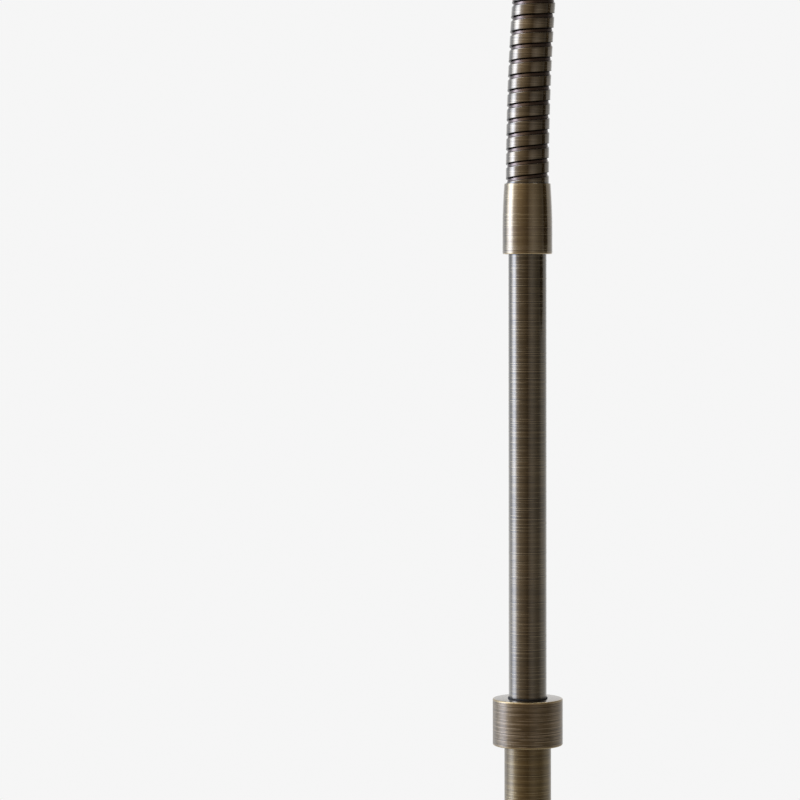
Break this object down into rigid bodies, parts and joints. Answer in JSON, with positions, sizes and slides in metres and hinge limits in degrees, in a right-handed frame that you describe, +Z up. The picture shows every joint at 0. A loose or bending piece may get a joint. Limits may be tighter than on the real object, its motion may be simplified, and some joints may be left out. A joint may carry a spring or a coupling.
{
  "type": "floor lamp",
  "caption": "Slim bronzed floor lamp with a round base, a telescopic stem locked by a clamp collar, a bendable ribbed neck and a bell shade cut off at a slant.",
  "frame": {"origin": "middle of the base's underside, on the floor", "axes": "+Z up along the stem, +X the way the neck arches"},
  "size_m": [0.6182, 0.25, 1.2999],
  "materials": {
    "bronzed_brass": "dark bronzed, brushed round the piece, lacquered",
    "bronzed_steel": "dark bronzed strip, satin",
    "bronzed_shade": "dark bronzed outside, white paint inside",
    "zinc_steel": "zinc plated",
    "brass": "plain turned",
    "cast_iron": "rough cast, painted",
    "felt": "pressed felt",
    "white_nylon": "satin",
    "black_plastic": "satin moulded",
    "opal_glass": "opal"
  },
  "bodies": {
    "stand": {"base_felt": "felt", "base_plate": "zinc_steel", "base_screws": "zinc_steel", "base_ballast": "cast_iron", "base_cover": "bronzed_brass", "cable_gland": "black_plastic", "stem_nipple": "zinc_steel", "stem_washer": "zinc_steel", "stem_nut": "zinc_steel", "foot_plug": "brass", "lower_tube": "bronzed_brass", "clamp_collar": "bronzed_brass", "collar_bush": "black_plastic"},
    "clamp_pad": {"clamp_pad": "white_nylon"},
    "clamp_screw": {"clamp_screw": "zinc_steel", "clamp_knob": "bronzed_brass"},
    "glide": {"glide_bush": "white_nylon"},
    "upper_stem": {"upper_tube_plug": "brass", "glide_clip": "zinc_steel", "upper_tube": "bronzed_brass", "neck_ferrule": "bronzed_brass", "neck_segment_01": "bronzed_steel"},
    "neck_02": {"neck_segment_02": "bronzed_steel"},
    "neck_03": {"neck_segment_03": "bronzed_steel"},
    "neck_04": {"neck_segment_04": "bronzed_steel"},
    "neck_05": {"neck_segment_05": "bronzed_steel"},
    "neck_06": {"neck_segment_06": "bronzed_steel"},
    "neck_07": {"neck_segment_07": "bronzed_steel"},
    "neck_08": {"neck_segment_08": "bronzed_steel"},
    "neck_09": {"neck_segment_09": "bronzed_steel"},
    "neck_10": {"neck_segment_10": "bronzed_steel"},
    "neck_11": {"neck_segment_11": "bronzed_steel"},
    "neck_12": {"neck_segment_12": "bronzed_steel"},
    "neck_13": {"neck_segment_13": "bronzed_steel"},
    "head": {"neck_segment_14": "bronzed_steel", "socket_cup": "bronzed_brass", "neck_nut": "zinc_steel", "holder_cap": "black_plastic", "holder_body": "black_plastic", "terminal_screws": "zinc_steel", "holder_skirt": "black_plastic", "contact_shell": "brass", "contact_centre": "brass", "shade": "bronzed_shade", "shade_ring": "black_plastic", "bulb_tip": "brass", "bulb_cap": "brass", "bulb_glass": "opal_glass"}
  },
  "joints": [
    {"name": "height_slide", "type": "slide", "parent": "stand", "child": "glide", "axis": [0, 0, 1], "range_m": [-0.15, 0.12]},
    {"name": "stem_swivel", "type": "hinge", "parent": "glide", "child": "upper_stem", "pos_m": [0, 0, 0.75], "axis": [0, 0, 1], "range_deg": [-175, 175]},
    {"name": "clamp_slide", "type": "slide", "parent": "stand", "child": "clamp_pad", "axis": [0, 1, 0], "range_m": [0, 0.0014]},
    {"name": "clamp_turn", "type": "hinge", "parent": "clamp_pad", "child": "clamp_screw", "pos_m": [0, 0.015, 0.88], "axis": [0, 1, 0], "range_deg": [0, 720]},
    {"name": "neck_bend_01", "type": "hinge", "parent": "upper_stem", "child": "neck_02", "pos_m": [0.00052, 0, 1.09399], "axis": [0.0052, 1, -0.0002], "range_deg": [-9, 4]},
    {"name": "neck_bend_02", "type": "hinge", "parent": "neck_02", "child": "neck_03", "pos_m": [0.00209, 0, 1.12395], "axis": [0.0052, 1, -0.0004], "range_deg": [-9, 4]},
    {"name": "neck_side_03", "type": "hinge", "parent": "neck_03", "child": "neck_04", "pos_m": [0.00562, 0, 1.15373], "axis": [0.9863, 0, -0.165], "range_deg": [-7, 7]},
    {"name": "neck_bend_04", "type": "hinge", "parent": "neck_04", "child": "neck_05", "pos_m": [0.01198, 0, 1.18304], "axis": [0.0051, 1, -0.0014], "range_deg": [-9, 4]},
    {"name": "neck_bend_05", "type": "hinge", "parent": "neck_05", "child": "neck_06", "pos_m": [0.02112, 0, 1.2116], "axis": [0.0049, 1, -0.0018], "range_deg": [-9, 4]},
    {"name": "neck_side_06", "type": "hinge", "parent": "neck_06", "child": "neck_07", "pos_m": [0.0349, 0, 1.23817], "axis": [0.8261, 0, -0.5635], "range_deg": [-7, 7]},
    {"name": "neck_bend_07", "type": "hinge", "parent": "neck_07", "child": "neck_08", "pos_m": [0.05461, 0, 1.26069], "axis": [0.0035, 1, -0.0039], "range_deg": [-9, 4]},
    {"name": "neck_bend_08", "type": "hinge", "parent": "neck_08", "child": "neck_09", "pos_m": [0.07912, 0, 1.27785], "axis": [0.0025, 1, -0.0046], "range_deg": [-9, 4]},
    {"name": "neck_side_09", "type": "hinge", "parent": "neck_09", "child": "neck_10", "pos_m": [0.10703, 0, 1.28868], "axis": [0.247, 0, -0.969], "range_deg": [-7, 7]},
    {"name": "neck_bend_10", "type": "hinge", "parent": "neck_10", "child": "neck_11", "pos_m": [0.1367, 0, 1.29253], "axis": [0, 1, -0.0052], "range_deg": [-9, 4]},
    {"name": "neck_bend_11", "type": "hinge", "parent": "neck_11", "child": "neck_12", "pos_m": [0.16645, 0, 1.28919], "axis": [-0.0012, 1, -0.0051], "range_deg": [-9, 4]},
    {"name": "neck_side_12", "type": "hinge", "parent": "neck_12", "child": "neck_13", "pos_m": [0.19453, 0, 1.27886], "axis": [-0.4555, 0, -0.8902], "range_deg": [-7, 7]},
    {"name": "neck_bend_13", "type": "hinge", "parent": "neck_13", "child": "head", "pos_m": [0.21934, 0, 1.26212], "axis": [-0.0034, 1, -0.004], "range_deg": [-9, 4]}
  ],
  "couplings": [
    {"joint": "clamp_turn", "follows": "clamp_slide", "rad_per_m": 8976},
    {"joint": "neck_bend_02", "follows": "neck_bend_01", "ratio": 1},
    {"joint": "neck_bend_04", "follows": "neck_bend_01", "ratio": 1},
    {"joint": "neck_bend_05", "follows": "neck_bend_01", "ratio": 1},
    {"joint": "neck_side_06", "follows": "neck_side_03", "ratio": 1},
    {"joint": "neck_bend_08", "follows": "neck_bend_07", "ratio": 1},
    {"joint": "neck_side_09", "follows": "neck_side_03", "ratio": 1},
    {"joint": "neck_bend_10", "follows": "neck_bend_07", "ratio": 1},
    {"joint": "neck_bend_11", "follows": "neck_bend_07", "ratio": 1},
    {"joint": "neck_side_12", "follows": "neck_side_03", "ratio": 1},
    {"joint": "neck_bend_13", "follows": "neck_bend_07", "ratio": 1}
  ]
}
